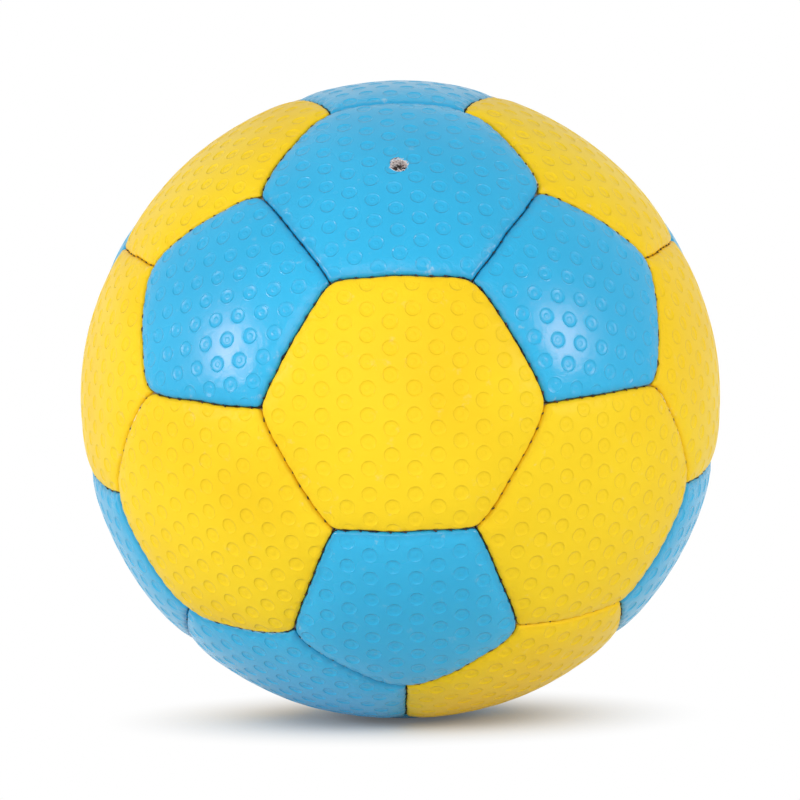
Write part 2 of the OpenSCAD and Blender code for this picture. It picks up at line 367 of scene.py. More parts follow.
def nearest_dimple(place):
    """Distance in millimetres from each place to the nearest dimple's middle. A triangular pattern is two
    upright rectangular ones, the second moved by half a cell both ways, and the nearer of the two counts."""
    cell = DIMPLE_PITCH * np.array([1, 3 ** 0.5])
    first = (place + cell / 2) % cell - cell / 2
    second = place % cell - cell / 2
    return np.minimum(np.hypot(*first.T), np.hypot(*second.T))


def bowl_depth(panel, points, distance):
    """Depth in millimetres of the dimples' bowls under unit vectors at a distance from the seam."""
    bowl = smooth_step(nearest_dimple(dimple_place(panel, points)), *BOWL_STEP)
    return DIMPLE_DEPTH * (bowl * smooth_step(distance, *BOWL_FADE))


for panel in panels:
    hidden = (random.uniform(0, TURN_REPEAT), *(random.uniform(-PLACE_SPREAD, PLACE_SPREAD) for _ in "xy"))
    panel.dimples = DIMPLE_TURNS.get(panel.name, hidden)
print("Dimples every", DIMPLE_PITCH, "mm")

# %% [markdown]
# ## The edge of a panel
#
# Towards a seam the leather first sinks a little, then rolls over a tight round edge and turns in as a
# flange. That path is a list of rows, each with its distance from the seam, its radius and its hold, which
# is how much of the seam's push the row still follows. The path goes on under the flange and back below the
# skin, so each panel is a closed shell as thick as the leather.

# %% Path of the edge
# Distances from the seam: the last ring of the face's lattice, the rows after it, and the round edge
LATTICE_EDGE = 3.0
FLAT_ROWS = (2.6, 2.2, 1.8)
ROLL_W = 1.05
SEAM_GAP = 0.05
ROLL_DEPTH = 1.15
ROLL_ROWS = 10
# Radius part way down the outside and the inside of the flange, and the hold there
FLANGE_OUTSIDE_R = 84.6
FLANGE_INSIDE_R = 84.4
FLANGE_HOLD = 0.6
# Radius of the inner side, and the distance by which its first two rows lie apart
UNDER_R = CROWN_R - COVER_T
UNDER_STEP = 1.2
# The face lies this far under the crown, which leaves room for its swells
SWELL_ROOM = 0.12
# Depth and width of the two bell curves by which the skin sinks towards a seam
SINKS = ((0.32, 2.2), (0.55, 5.2))


def sink(distance):
    """How far the skin lies below the crown at a distance from the seam: a narrow bell curve on a wide
    one."""
    return sum(depth * np.exp(-(distance / width) ** 2) for depth, width in SINKS)


def edge_path():
    """Rows of (distance from the seam, radius, hold) from the edge of the lattice to the underside.
    On the roll the distance shrinks as one less the sine, and the depth grows as one less the cosine."""
    flat = [(d, 0.0) for d in (LATTICE_EDGE, *FLAT_ROWS)]
    roll = [(SEAM_GAP + (ROLL_W - SEAM_GAP) * (1 - math.sin(q)), ROLL_DEPTH * (1 - math.cos(q)))
            for q in np.radians(np.linspace(0, 90, ROLL_ROWS))]
    skin = [(d, CROWN_R - SWELL_ROOM - sink(d) - drop, 1.0) for d, drop in flat + roll]
    inner = SEAM_GAP + COVER_T
    under = [(SEAM_GAP, FLANGE_OUTSIDE_R, FLANGE_HOLD), (SEAM_GAP, INSIDE_R, 0.0), (inner, INSIDE_R, 0.0),
             (inner, FLANGE_INSIDE_R, FLANGE_HOLD), (inner, UNDER_R, 1.0), (inner + UNDER_STEP, UNDER_R, 1.0)]
    return skin, under


SKIN_ROWS, UNDER_ROWS = edge_path()
print(len(SKIN_ROWS), "rows over the edge and", len(UNDER_ROWS), "round the flange")

# %% Puckers and swells
# Stitches along a seam, and the depth and the widths of the pucker at each of them
STITCH_PITCH = 3.75
STITCHES = 9
PUCKER = 0.2
PUCKER_ACROSS = 1.7
PUCKER_ALONG = 0.8
# Depths under the crown down to which the bowls and the puckers reach
SKIN_DEPTH = 1.2
ROLL_END = 2.4
# Height in millimetres of a swell, radians a millimetre, and distances from the seam over which it comes up
SWELL = 0.06
SWELL_PACE = (0.14, 0.24)
SWELL_FADE = (3.0, 9.0)


def nearest_seam(panel, points):
    """For each unit vector, the length in millimetres along its nearest seam from the seam's middle, and 1
    where the panel across that seam has the other colour."""
    heights = np.array([-sign * (points @ s.across) for sign, s in panel.seams])
    nearest = heights.argmin(axis=0)
    along = np.array([CROWN_R * np.arcsin(np.clip(points @ s.along, -1, 1)) for _, s in panel.seams])
    other = np.array([float(s.a.slot != s.b.slot) for _, s in panel.seams])
    return along[nearest, np.arange(len(points))], other[nearest]


def pucker(distance, along):
    """How far each stitch draws the edge of a panel in: a bell curve across the seam and one along it."""
    off = (along + STITCH_PITCH / 2) % STITCH_PITCH - STITCH_PITCH / 2
    reach = STITCH_PITCH * STITCHES / 2
    bell = np.exp(-(distance / PUCKER_ACROSS) ** 2 - (off / PUCKER_ALONG) ** 2)
    return PUCKER * bell * (np.abs(along) < reach)


def unevenness(panel, points):
    """Slow swells of the padding under a panel: three waves across it, in random directions."""
    return sum(SWELL * np.sin(CROWN_R * (points @ wave) + wave.sum()) for wave in panel.swells)


for panel in panels:
    panel.swells = unit(random.normal(size=(3, 3))) * random.uniform(*SWELL_PACE, (3, 1))
print(STITCHES, "puckers on each side of a seam")

# %% [markdown]
# ## The grid of a panel
#
# The middle of a panel is a lattice of triangles that keeps their size even: ring j has j points on each
# side, and each ring is the outline drawn smaller. Past the lattice, rows of equal length carry on over the
# edge. The valve panel starts at a ring of its own, round the hole, and closes through the hole's wall.

# %% Rings and faces
# Rings of the lattice by number of sides, and those of the valve panel that its hole takes up
LATTICE_RINGS = {6: 74, 5: 62}
HOLE_RING = 9
HOLE_R = 2.2


def lattice_faces(sides, first, last, start):
    """Triangles between the rings first to last of a lattice whose ring j has sides * j points in a row.
    On each side of ring j, j triangles stand on the outer ring and j - 1 hang from the inner one."""
    faces = []
    offset = {first: start}
    for j in range(first + 1, last + 1):
        offset[j] = offset[j - 1] + (sides * (j - 1) if j > 1 else 1)
        s, i = np.divmod(np.arange(sides * j), j)
        out = offset[j] + np.arange(sides * j)
        out_next = offset[j] + (np.arange(sides * j) + 1) % (sides * j)
        inner_count = max(sides * (j - 1), 1)
        inn = offset[j - 1] + (s * (j - 1) + i) % inner_count
        faces.append(np.column_stack([inn, out, out_next]))
        keep = i < j - 1
        inn_next = offset[j - 1] + (s * (j - 1) + i + 1) % inner_count
        faces.append(np.column_stack([inn, out_next, inn_next])[keep])
    return np.vstack(faces)


def strip_faces(upper, lower, count):
    """Triangles between two closed rows of count points, whose first points are upper and lower."""
    i = np.arange(count)
    j = (i + 1) % count
    return np.vstack([np.column_stack([upper + i, lower + i, lower + j]),
                      np.column_stack([upper + i, lower + j, upper + j])])


def first_ring(panel):
    """Number of the innermost ring of a panel's lattice, where ring 0 is a single point."""
    return HOLE_RING if panel.name == VALVE_PANEL else 0


def lattice_places(sides, first, last):
    """Place along the outline and share of the way out for every point of the rings first to last."""
    rings = np.arange(max(first, 1), last + 1)
    j = np.repeat(rings, sides * rings)
    i = np.concatenate([np.arange(sides * n) for n in rings])
    share = (j - first) / (last - first)
    return (np.r_[0.0, i / j], np.r_[0.0, share]) if first == 0 else (i / j, share)


def lattice_ways(panel, edge):
    """Unit vectors to a panel's lattice, whose last ring lies at the angles edge out from the middle."""
    first, last = first_ring(panel), LATTICE_RINGS[panel.sides]
    place, share = lattice_places(panel.sides, first, last)
    outline = np.interp(place, np.arange(len(edge) + 1) / last, np.r_[edge, edge[0]])
    start = HOLE_R / CROWN_R if first else 0
    return directions(panel, headings(panel, place), start + share * (outline - start))


print("Triangles in the lattice of a hexagon:", 6 * LATTICE_RINGS[6] ** 2)

# %% [markdown]
# ## From rows to a closed shell
#
# A mesh is only a list of points and a list of faces, so a panel can be built like a basket, row by row. A
# small class keeps the rows, and knows the number of each row's first point, which is all that the faces
# between two rows need. Beside each point it keeps two facts that the leather will ask for: how far the
# point is from the seam, and how deep it lies.

# %% A shell that grows row by row
FAR = 9.0


class Shell:
    """Rows of points in millimetres, the distance from the seam and the depth of each, and the faces."""

    def __init__(self):
        self.points, self.nears, self.depths, self.faces = [], [], [], []
        self.size = 0

    def add(self, points, near=FAR, depth=None):
        """Add a row and return the number of its first point. Depth is measured if it isn't given."""
        if depth is None:
            depth = CROWN_R - np.linalg.norm(points, axis=1)
        self.points.append(points)
        self.nears.append(np.broadcast_to(near, len(points)))
        self.depths.append(np.broadcast_to(depth, len(points)))
        self.size += len(points)
        return self.size - len(points)


print("Points on the inner side count as", FAR, "mm from the seam")

# %% Face, edge and underside of one panel
# Rows of the inner side, as shares of the way out to its edge
UNDER_SHARES = (0.75, 0.4)
# Rows of the wall of the valve hole: depth under the crown, and share of the hole's radius
HOLE_WALL = ((1.1, 0.94), (0.6, 0.94), (0.25, 0.97))


def add_face(shell, panel, heading):
    """Add the lattice, and return the number of its last ring's first point. The radius is the crown's,
    less the sink near the seams, less the bowls of the dimples, plus the swells."""
    way = lattice_ways(panel, angle_at(panel, heading, *SKIN_ROWS[0]))
    near = distance_in(panel, way, CROWN_R, 1.0)
    swell = unevenness(panel, way) * smooth_step(near, *SWELL_FADE)
    radius = CROWN_R - SWELL_ROOM - sink(near) - bowl_depth(panel, way, near) + swell
    start = shell.add(way * radius[:, None], near, sink(near))
    shell.faces.append(lattice_faces(panel.sides, first_ring(panel), LATTICE_RINGS[panel.sides], start))
    return shell.size - len(heading)


def add_edge(shell, panel, heading, above):
    """Add the rows over the edge, down the flange and back under the skin, and return the last one."""
    for distance, r, hold in SKIN_ROWS[1:] + UNDER_ROWS:
        way = directions(panel, heading, angle_at(panel, heading, distance, r, hold))
        radius = np.full(len(heading), r)
        if r > CROWN_R - SKIN_DEPTH:
            radius = radius - bowl_depth(panel, way, distance)
        if r > CROWN_R - ROLL_END:
            radius = radius - pucker(distance, nearest_seam(panel, way)[0])
        below = shell.add(way * radius[:, None], distance, CROWN_R - SWELL_ROOM - r)
        shell.faces.append(strip_faces(above, below, len(heading)))
        above = below
    return above


def close_underside(shell, panel, heading, above):
    """Close the inner side by rows that shrink to a point in the panel's middle."""
    edge = angle_at(panel, heading, *UNDER_ROWS[-1])
    for share in UNDER_SHARES:
        below = shell.add(directions(panel, heading, edge * share) * UNDER_R)
        shell.faces.append(strip_faces(above, below, len(heading)))
        above = below
    middle = shell.add(panel.way[None] * UNDER_R)
    i = np.arange(len(heading))
    shell.faces.append(np.column_stack([above + i, np.full(len(i), middle), above + (i + 1) % len(i)]))


def close_hole(shell, panel, heading, above):
    """Close the inner side of the valve panel by a lattice, and join it to the face by the hole's wall."""
    way = lattice_ways(panel, angle_at(panel, heading, *UNDER_ROWS[-1]))
    below = shell.add(way * UNDER_R)
    inwards = lattice_faces(panel.sides, HOLE_RING, LATTICE_RINGS[panel.sides], below)[:, ::-1]
    shell.faces += [inwards, strip_faces(above, shell.size - len(heading), len(heading))]
    above, ring = below, panel.sides * HOLE_RING
    round_hole = headings(panel, np.arange(ring) / HOLE_RING)
    for drop, share in HOLE_WALL:
        wall = directions(panel, round_hole, np.full(ring, HOLE_R / CROWN_R * share))
        below = shell.add(wall * (CROWN_R - drop))
        shell.faces.append(strip_faces(above, below, ring))
        above = below
    shell.faces.append(strip_faces(above, 0, ring))


def panel_shell(panel):
    """A whole panel as one closed shell."""
    shell, rings = Shell(), LATTICE_RINGS[panel.sides]
    heading = headings(panel, np.arange(panel.sides * rings) / rings)
    above = add_edge(shell, panel, heading, add_face(shell, panel, heading))
    close = close_hole if first_ring(panel) else close_underside
    close(shell, panel, heading, above)
    return shell


print("Points in one hexagon:", panel_shell(panels[0]).size)

# %% Put an array surface into a mesh
def add_mesh(name, points, faces, attributes=(), smooth=True):
    """A mesh object at the origin from rows of points in millimetres, faces and named point values."""
    mesh = bpy.data.meshes.new(name)
    mesh.vertices.add(len(points))
    mesh.vertices.foreach_set("co", (np.asarray(points) * MM).astype(np.float32).ravel())
    sides = faces.shape[1]
    mesh.loops.add(faces.size)
    mesh.loops.foreach_set("vertex_index", faces.astype(np.int32).ravel())
    mesh.polygons.add(len(faces))
    mesh.polygons.foreach_set("loop_start", np.arange(0, faces.size, sides, dtype=np.int32))
    mesh.polygons.foreach_set("use_smooth", np.full(len(faces), smooth))
    for label, values in attributes:
        kind = "FLOAT_VECTOR" if values.ndim == 2 else "FLOAT"
        layer = mesh.attributes.new(label, kind, "POINT")
        layer.data.foreach_set("vector" if values.ndim == 2 else "value", values.astype(np.float32).ravel())
    mesh.update()
    mesh.validate()
    piece = bpy.data.objects.new(name, mesh)
    bpy.context.scene.collection.objects.link(piece)
    return piece


print("Arrays go into meshes at", MM, "m to the millimetre")

# %% The covers
# Depths between which the coating gives way to the cloth backing
BACKING_STEP = (ROLL_END - 0.3, ROLL_END)


def make_cover(panel):
    """The finished skin of a panel, which stands for its CAD node."""
    shell = panel_shell(panel)
    points, depth = np.vstack(shell.points), np.concatenate(shell.depths)
    place = dimple_place(panel, unit(points))
    along, other = nearest_seam(panel, unit(points))
    backing = smooth_step(depth, *BACKING_STEP)
    if panel.name == VALVE_PANEL:
        backing[-len(HOLE_WALL) * panel.sides * HOLE_RING:] = 1
    piece = add_mesh(panel.name + "_cover", points, np.vstack(shell.faces), [
        ("seam_distance", np.concatenate(shell.nears)), ("depth", depth), ("backing", backing),
        ("seam_along", along), ("two_colours", other),
        ("dimple_place", np.column_stack([place, np.zeros(len(place))]))])
    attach(piece, "root")
    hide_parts(panel.name)
    return piece


covers = {panel.name: make_cover(panel) for panel in panels}
print(len(covers), "covers,", sum(len(c.data.polygons) for c in covers.values()), "triangles")

# %% [markdown]
# ## The stitches
#
# A ball like this is closed with one waxed thread that crosses each seam every few millimetres, just below
# the surface. Only short slanted bits of it show between the rolled edges. Each bit is a small capped tube,
# and all of them are worked out as one array, so that hundreds of them cost a few lines.

# %% Small round tubes along paths
def tube_mesh(paths, radii, sides):
    """Points and triangles of closed tubes. Row n of paths holds the places along one tube, and radii its
    radius at each. A ring is its centre plus radius times (cosine across + sine up), and a fan closes
    each end."""
    count, rows, _ = paths.shape
    tangent = unit(np.gradient(paths, axis=1))
    across = unit(np.cross(tangent, unit(paths)))
    up = np.cross(across, tangent)
    turn = 2 * np.pi * np.arange(sides)[:, None] / sides
    ring = np.cos(turn) * across[:, :, None] + np.sin(turn) * up[:, :, None]
    rings = (paths[:, :, None] + ring * radii[:, :, None, None]).reshape(count, rows * sides, 3)
    points = np.concatenate([rings, paths[:, :1], paths[:, -1:]], axis=1)
    k = np.arange(sides)
    j = (k + 1) % sides
    faces = []
    for below in sides * np.arange(rows - 1):
        faces.append(np.column_stack([below + k, below + sides + j, below + j]))
        faces.append(np.column_stack([below + k, below + sides + k, below + sides + j]))
    last = sides * (rows - 1)
    faces.append(np.column_stack([np.full(sides, rows * sides), k, j]))
    faces.append(np.column_stack([np.full(sides, rows * sides + 1), last + j, last + k]))
    every = np.vstack(faces) + (rows * sides + 2) * np.arange(count)[:, None, None]
    return points.reshape(-1, 3), every.reshape(-1, 3)


TUBE_ROWS = 5
TUBE_SIDES = 5
TUBE_POINTS = TUBE_ROWS * TUBE_SIDES + 2
print("A small tube has", TUBE_POINTS, "points")

# %% Stitches along every seam
# Radius of a stitch, and the share of it at each row
STITCH_R = 0.18
STITCH_TAPER = (0.8, 1, 1, 1, 0.8)
# How far a stitch strays along the seam, how far it slants, and how deep it lies
STITCH_STRAY = 0.3
STITCH_SLANT = (0.45, 0.8)
STITCH_DEPTH = (1.3, 1.75)
# A stitch lies deeper between panels of one colour
ONE_COLOUR_DEPTH = 0.18
# How far a stitch reaches across on either side, and how far its ends dip
STITCH_REACH = 0.42
STITCH_BOW = 0.5


def seam_places(seam, along, across, depth):
    """Places at lengths along and across a seam in millimetres, at a depth below the crown: the seam's
    middle turned along by length over radius, and moved across by the seam's own shift."""
    angle = (along / CROWN_R)[..., None]
    line = np.cos(angle) * seam.middle + np.sin(angle) * seam.along
    shift = seam_shift(seam, line) + across
    return unit(line + (shift / CROWN_R)[..., None] * seam.across) * (CROWN_R - depth)[..., None]


def stitch_paths(seam):
    """Paths of one seam's stitches: each slants from one edge to the other, and dips by s squared."""
    s = np.linspace(-1, 1, TUBE_ROWS)
    place = STITCH_PITCH * (np.arange(STITCHES) - (STITCHES - 1) / 2)
    place = place + random.uniform(-STITCH_STRAY, STITCH_STRAY, STITCHES)
    slant = random.uniform(*STITCH_SLANT, STITCHES)
    deep = random.uniform(*STITCH_DEPTH, STITCHES) + ONE_COLOUR_DEPTH * (seam.a.slot == seam.b.slot)
    return seam_places(seam, place[:, None] + slant[:, None] * s, np.tile(STITCH_REACH * s, (STITCHES, 1)),
                       deep[:, None] + STITCH_BOW * s ** 2)


stitches = np.vstack([stitch_paths(seam) for seam in seams])
points, faces = tube_mesh(stitches, np.full(stitches.shape[:2], STITCH_R) * STITCH_TAPER, TUBE_SIDES)
tints = np.repeat(random.uniform(0, 1, len(stitches)), TUBE_POINTS)
seam_stitches = add_mesh("seam_stitches", points, faces, [("tint", tints)])
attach(seam_stitches, "root")
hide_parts("seam_thread")
print(len(stitches), "stitches,", len(faces), "triangles")

# %% [markdown]
# ## The frayed rim of the valve hole
#
# The hole for the inflating needle is punched through the cover, so the cloth behind the leather shows round
# it as a whitish fray. About a hundred thin fibres, each a tapering tube that starts in the wall of the hole
# and bends on its way, give that look from any side.

# %% Fibres round the valve hole
# Number of fibres, their radius and its share at the tip, and how far round they turn
FIBRES = 114
FIBRE_R = (0.07, 0.13)
FIBRE_TIP = 0.35
FIBRE_TURN = 0.9
# Fibres that run inwards: how far their roots lie behind the wall, their reach, their depth and their drift
ROOT_BEHIND = 0.06
INWARD_REACH = (0.4, 1.8)
INWARD_DEPTH = (0.35, 1.3)
INWARD_DRIFT = (-0.3, 0.35)
# Fibres that lie over the rim: how far their roots stand in front of the wall, their reach and their depth,
# which climbs fast from the root and droops at the tip
ROOT_BEFORE = 0.15
OUTWARD_REACH = (0.3, 0.75)
ROOT_DEPTH = 0.75
CLIMB = 0.95
CLIMB_POWER = 0.7
DROOP = 0.3


def fibre_paths():
    """Paths of the fibres. Each starts in the wall at its own angle and turns a little on the way. Two in
    three run inwards at their own depth, and the third climbs out and lies over the rim. More grow from
    the upper half."""
    right = unit(np.cross([0, 0, 1], VALVE_WAY))
    up = np.cross(VALVE_WAY, right)
    s = np.linspace(0, 1, TUBE_ROWS)
    angle = np.where(np.arange(FIBRES) % 3 == 0, random.uniform(0, math.pi, FIBRES),
                     random.uniform(0, 2 * math.pi, FIBRES))[:, None]
    angle = angle + random.uniform(-FIBRE_TURN, FIBRE_TURN, FIBRES)[:, None] * s
    over = (np.arange(FIBRES) % 3 == 1)[:, None]
    inwards = HOLE_R + ROOT_BEHIND - random.uniform(*INWARD_REACH, FIBRES)[:, None] * s
    outwards = HOLE_R - ROOT_BEFORE + random.uniform(*OUTWARD_REACH, FIBRES)[:, None] * s
    sunk = random.uniform(*INWARD_DEPTH, FIBRES)[:, None]
    sunk = sunk - random.uniform(*INWARD_DRIFT, FIBRES)[:, None] * s ** 2
    rising = ROOT_DEPTH - CLIMB * np.sin(s * math.pi / 2) ** CLIMB_POWER + DROOP * s ** 3
    out, depth = np.where(over, outwards, inwards), np.where(over, rising, sunk)
    flat = np.cos(angle)[..., None] * right + np.sin(angle)[..., None] * up
    return VALVE_WAY * (CROWN_R - depth)[..., None] + flat * out[..., None]


fibres = fibre_paths()
thickness = random.uniform(*FIBRE_R, FIBRES)[:, None] * np.linspace(1, FIBRE_TIP, TUBE_ROWS)
points, faces = tube_mesh(fibres, thickness, TUBE_SIDES)
tints = np.repeat(random.uniform(0, 1, FIBRES), TUBE_POINTS)
valve_hole_fray = add_mesh("valve_hole_fray", points, faces, [("tint", tints)])
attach(valve_hole_fray, "root")
print(FIBRES, "fibres round the hole")

# %% [markdown]
# ## Building materials out of nodes
#
# Every finish on the ball is procedural. A few small helpers keep the node code short: one adds a node with
# its settings and inputs in a single call, some stand for the nodes that come up all the time, and one makes
# a node group with named sockets. An input can be given as a number, as a colour, or as the output of
# another node.

# %% Helpers for nodes
def feed(tree, socket, value):
    """Link an input to the output of another node, or set it to a plain value."""
    if isinstance(value, bpy.types.NodeSocket):
        tree.links.new(value, socket)
    else:
        socket.default_value = value


def add(tree, kind, inputs=(), **settings):
    """Add a shader node, set its properties, and set or link its inputs by name or number."""
    made = tree.nodes.new("ShaderNode" + kind)
    for key, value in settings.items():
        setattr(made, key, value)
    for key, value in dict(inputs).items():
        feed(tree, made.inputs[key], value)
    return made


def sums(tree, operation, a, b=0.0):
    """The output of a Math node."""
    return add(tree, "Math", {0: a, 1: b}, operation=operation).outputs[0]


def total(tree, *terms):
    """The sum of the products of (value, share) pairs."""
    amount, *others = [sums(tree, "MULTIPLY", value, share) for value, share in terms]
    for product in others:
        amount = sums(tree, "ADD", amount, product)
    return amount


def step(tree, value, low, high, to_low=0.0, to_high=1.0):
    """A smooth step from to_low at low to to_high at high, as a Map Range node."""
    return add(tree, "MapRange", {"Value": value, "From Min": low, "From Max": high, "To Min": to_low,
                                  "To Max": to_high}, interpolation_type="SMOOTHSTEP").outputs["Result"]


def mix(tree, factor, a, b):
    """A colour between a and b."""
    made = add(tree, "Mix", {"Factor": factor}, data_type="RGBA")
    for socket, value in ((made.inputs[6], a), (made.inputs[7], b)):
        feed(tree, socket, (*value, 1) if isinstance(value, tuple) else value)
    return made.outputs[2]


def attribute(tree, name, output="Fac"):
    """A named value of the mesh."""
    return add(tree, "Attribute", attribute_name=name).outputs[output]


def noise(tree, place, scale, **more):
    """The value at a place of a noise of a scale. More of its inputs can be given by name."""
    more = {label.capitalize(): value for label, value in more.items()}
    return add(tree, "TexNoise", {"Vector": place, "Scale": scale, **more}).outputs[0]


print("Node helpers are ready")

# %% Helpers for node groups and materials
def make_group(name, inputs, outputs):
    """An empty node group, its inputs and its outputs. Inputs are {name: start value}, where None stands for
    a vector, and the outputs are numbers."""
    group = bpy.data.node_groups.new(name, "ShaderNodeTree")
    for label, value in inputs.items():
        kind = "NodeSocketVector" if value is None else "NodeSocketFloat"
        socket = group.interface.new_socket(label, in_out="INPUT", socket_type=kind)
        if value is not None:
            socket.default_value = value
    for label in outputs:
        group.interface.new_socket(label, in_out="OUTPUT", socket_type="NodeSocketFloat")
    return group, group.nodes.new("NodeGroupInput").outputs, group.nodes.new("NodeGroupOutput").inputs


def use_group(tree, group, inputs):
    """The outputs of a group placed in a tree."""
    return add(tree, "Group", inputs, node_tree=group).outputs


def empty_tree(owner):
    """The node tree of a material or a world, with nothing in it."""
    owner.use_nodes = True
    owner.node_tree.nodes.clear()
    return owner.node_tree


print("Group helpers are ready")

# %% [markdown]
# ## Shared effects
#
# The dimples, the grain of the coating, the marks of handling, the painted shade and the creases at the seams
# are used by both colours of leather, so each is a group that is built once. Heights are in millimetres, and
# the Bump node that reads them has a distance of one millimetre.

# %% Dimple relief
# Distances from a dimple's middle between which each of its features comes up, and how high or deep it is
CUT_STEP = (1.95, 1.6)
CUT_DEPTH = 0.1
RING_INSIDE = (1.84, 2.0)
RING_OUTSIDE = (2.24, 2.04)
RING_H = 0.045
NUB_STEP = (0.85, 0.4)
NUB_H = 0.06

dimple_relief, given, result = make_group("dimple_relief", {"Place": None}, ["Height", "Bowl"])
tree = dimple_relief
half_cell = (DIMPLE_PITCH / 2, DIMPLE_PITCH * 3 ** 0.5 / 2, 1.0)
other_end = tuple(-v for v in half_cell)
distances = []
for move in ((0, 0, 0), half_cell):
    moved = add(tree, "VectorMath", {0: given["Place"], 1: move}, operation="SUBTRACT").outputs[0]
    wrapped = add(tree, "VectorMath", {0: moved, 1: half_cell, 2: other_end}, operation="WRAP").outputs[0]
    flat = add(tree, "VectorMath", {0: wrapped, 1: (1, 1, 0)}, operation="MULTIPLY").outputs[0]
    distances.append(add(tree, "VectorMath", {0: flat}, operation="LENGTH").outputs["Value"])
away = sums(tree, "MINIMUM", *distances)
bowl = step(tree, away, *CUT_STEP)
ring = sums(tree, "MULTIPLY", step(tree, away, *RING_INSIDE), step(tree, away, *RING_OUTSIDE))
nub = step(tree, away, *NUB_STEP)
height = total(tree, (ring, RING_H), (nub, NUB_H), (bowl, -CUT_DEPTH))
tree.links.new(height, result["Height"])
tree.links.new(bowl, result["Bowl"])
print("Dimple relief:", len(tree.nodes), "nodes")

# %% Grain of the coating
COATING_SCALE = 900.0

coating_grain, given, result = make_group("coating_grain", {"Place": None, "Scale": COATING_SCALE},
                                          ["Height", "Tone"])
tree = coating_grain
pebbles = add(tree, "TexVoronoi", {"Vector": given["Place"], "Scale": given["Scale"]}, feature="SMOOTH_F1")
pores = noise(tree, given["Place"], given["Scale"], detail=3.0)
tree.links.new(sums(tree, "ADD", pebbles.outputs["Distance"], pores), result["Height"])
tree.links.new(pores, result["Tone"])
print("Coating grain:", len(tree.nodes), "nodes")

# %% Marks of handling
# Levels of the noise between which a cloud or a scuff comes up
CLOUD_STEP = (0.35, 0.68)
SCUFF_STEP = (0.6, 0.78)
SCUFF_SCALE = 260.0
CLOUD_SIZE = 22.0

handling, given, result = make_group("handling_marks", {"Place": None, "Size": CLOUD_SIZE},
                                     ["Tone", "Scuff"])
tree = handling
clouds = noise(tree, given["Place"], given["Size"], detail=4.0)
scuffs = noise(tree, given["Place"], SCUFF_SCALE, detail=5.0, roughness=0.7)
tree.links.new(step(tree, clouds, *CLOUD_STEP), result["Tone"])
tree.links.new(step(tree, scuffs, *SCUFF_STEP), result["Scuff"])
print("Marks of handling:", len(tree.nodes), "nodes")

# %% Painted shade in the seams
# How far up the painted dark line of shade climbs, in millimetres: at a stitch, in a patch, and where the
# seam parts two colours
BEAT_REACH = 0.12
PATCH_REACH = 1.3
DARK_REACH = 0.1
PATCH_SCALE = 420.0
# Depths between which the painted dark line of shade comes up, and how its strength varies from stretch to
# stretch
LINE_STEP = (2.15, 2.35)
STRETCH_STEP = (0.38, 0.58, 0.45, 1.0)
STRETCH_SCALE = 70.0
# Distances from the seam between which the painted shade of the groove comes up
SHADE_STEP = (2.4, 0.2)

seam_painted_shade, given, result = make_group(
    "seam_painted_shade", {"Depth": 0.0, "Distance": FAR, "Along": 0.0, "Dark": 0.0, "Place": None},
    ["Line", "Shade"])
tree = seam_painted_shade
patches = noise(tree, given["Place"], PATCH_SCALE, detail=2.0)
beat = sums(tree, "COSINE", sums(tree, "MULTIPLY", given["Along"], 2 * math.pi / STITCH_PITCH))
reach = total(tree, (beat, BEAT_REACH), (patches, PATCH_REACH), (given["Dark"], DARK_REACH))
deep = sums(tree, "ADD", given["Depth"], reach)
stretches = noise(tree, given["Place"], STRETCH_SCALE)
# Line is the mask of a painted dark line of shade deep in the groove, and Shade of a painted shade beside the
# seam
line = sums(tree, "MULTIPLY", step(tree, deep, *LINE_STEP), step(tree, stretches, *STRETCH_STEP))
tree.links.new(line, result["Line"])
tree.links.new(step(tree, given["Distance"], *SHADE_STEP), result["Shade"])
print("Painted_shade in the seams:", len(tree.nodes), "nodes")

# %% Creases beside the seams
CREASE_SCALE = 300.0
# Distances from the seam, and the height of the creases at each
CREASE_STEP = (9.0, 0.8, 0.06, 0.3)

seam_creases, given, result = make_group("seam_creases", {"Place": None, "Distance": FAR}, ["Height"])
tree = seam_creases
folds = noise(tree, given["Place"], CREASE_SCALE, detail=3.0, distortion=0.8)
creases = sums(tree, "MULTIPLY", folds, step(tree, given["Distance"], *CREASE_STEP))
tree.links.new(creases, result["Height"])
print("Creases:", len(tree.nodes), "nodes")

# %% [markdown]
# ## The two colours of leather
#
# The cover is a soft synthetic leather with a satin coating. Its gloss shows as broad soft lights between the
# dimples, while the bowls look duller and a little darker, which is painted shade. Beside and deep in the
# seams
# the colour is darkened as painted shade: to a darker shade of the same colour where two panels of one colour
# meet, and nearly to black where the colours differ. Scuffs show pale, most of them along the edges. Deep in
# the seams, and in the wall of the valve hole, the leather's cloth backing shows.

# %% Leather material
# Share of the darker tone painted into the bowls of the dimples as shade
BOWL_PAINTED_SHADE = 0.08
# Distances from the seam, and the share of the scuffs' colour at each
WEAR_STEP = (7.0, 1.0, 0.12, 0.4)
SCUFF_COLOUR = (0.75, 0.74, 0.7)
# Share of the groove's darker tone painted beside a seam as shade, and of the near-black painted shade in the
# line where the seam parts two colours
PAINTED_GROOVE_SHADE_SHARE = 0.3
PAINTED_DARK_LINE_SHARE = 0.8
PAINTED_DARK_LINE_COLOUR = (0.012, 0.014, 0.012)
BACKING_TONES = ((0.88, 0.82, 0.78), (0.66, 0.55, 0.5))
# Roughness that each mask adds
BOWL_DULL = 0.05
CLOUD_DULL = 0.05
LINE_DULL = 0.3
BACKING_DULL = 0.5
# Distances from the seam between which the relief of the dimples comes up, and the height of the grain
RELIEF_FADE = (1.0, 2.6)
GRAIN_H = 0.012


